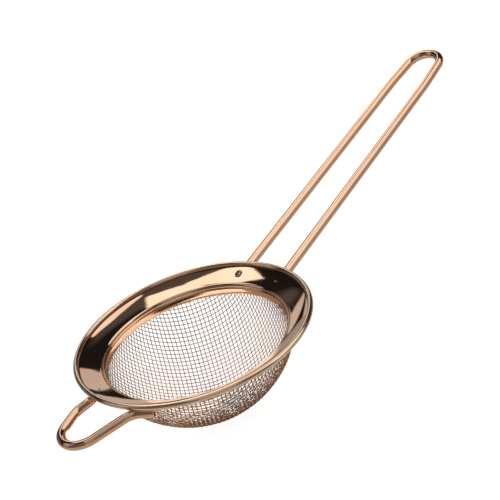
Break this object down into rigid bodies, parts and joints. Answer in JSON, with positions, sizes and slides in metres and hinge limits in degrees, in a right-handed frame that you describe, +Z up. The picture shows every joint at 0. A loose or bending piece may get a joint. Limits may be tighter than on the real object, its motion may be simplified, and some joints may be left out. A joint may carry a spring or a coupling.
{
  "type": "fine mesh bar strainer",
  "caption": "Round fine mesh strainer with a rolled rim, a flared polished collar, a woven wire bowl, a long hairpin wire handle and a short wire rest loop.",
  "frame": {"origin": "centre of the rolled rim's circle, at the middle of the roll's height", "axes": "+Z up out of the bowl's mouth, +X from the bowl's centre along the handle, +Y completes a right-handed frame"},
  "size_m": [0.236, 0.09, 0.0548],
  "materials": {
    "polished_plating": "mirror-polished rose gold plating on stainless steel",
    "satin_plating": "satin rose gold plating on stainless steel",
    "woven_wire": "plain-woven stainless wire cloth, rose gold plated"
  },
  "bodies": {
    "root": {"rim_collar": "polished_plating", "clamp_ring": "satin_plating", "mesh_bowl": "woven_wire", "handle_wire": "polished_plating", "rest_wire": "polished_plating", "handle_weld_left": "satin_plating", "handle_weld_right": "satin_plating", "rest_weld_left": "satin_plating", "rest_weld_right": "satin_plating"}
  },
  "joints": []
}
